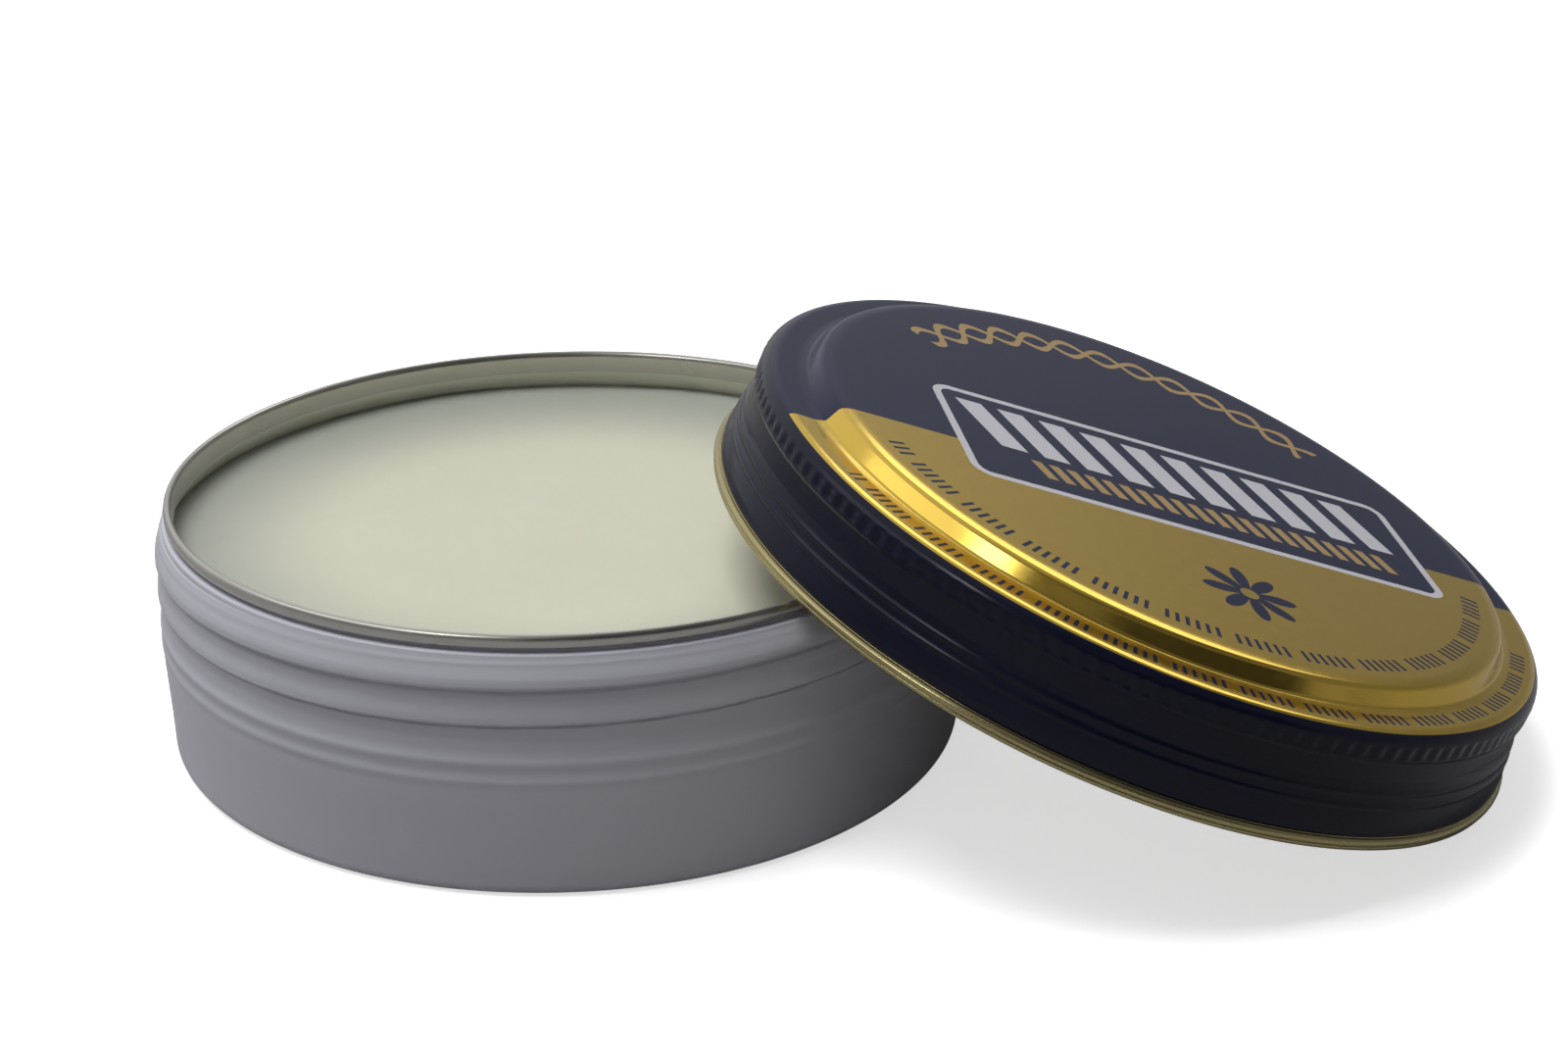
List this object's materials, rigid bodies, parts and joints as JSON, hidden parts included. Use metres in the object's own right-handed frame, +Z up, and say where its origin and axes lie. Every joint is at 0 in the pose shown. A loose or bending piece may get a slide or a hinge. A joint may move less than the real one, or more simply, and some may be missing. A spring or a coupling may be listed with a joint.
{
  "type": "shoe polish tin",
  "caption": "Round screw-top shoe polish tin, opened: a filled threaded base with a curled rim, and its knurled lid leaning on the rim, top side up.",
  "frame": {"origin": "centre of the base's flat underside, on the table", "axes": "+Z up along the base's own axis; +X towards the side on which the lid leans; +Y to the left of +X seen from above"},
  "size_m": [0.112, 0.0685, 0.033],
  "materials": {
    "white_lacquer": "satin white lacquer on tinplate, bare rolled rim",
    "polish_ivory": "soft ivory wax cream with a low sheen",
    "navy_lacquer": "dark navy lacquer with a gold-lacquered part of the top and a gold hem",
    "liner_white": "off-white foamed sealing wad"
  },
  "bodies": {
    "base": {"tin_base": "white_lacquer", "polish_cream": "polish_ivory"},
    "liner": {"lid_liner": "liner_white"},
    "lid": {"lid_shell": "navy_lacquer"}
  },
  "joints": [
    {"name": "lid_lift", "type": "slide", "parent": "base", "child": "liner", "axis": [0, 0, 1], "range_m": [0, 0.04]},
    {"name": "lid_turn", "type": "hinge", "parent": "liner", "child": "lid", "pos_m": [0.04456, 0, 0.01226], "axis": [0.3616, 0, 0.9323], "continuous": true}
  ]
}
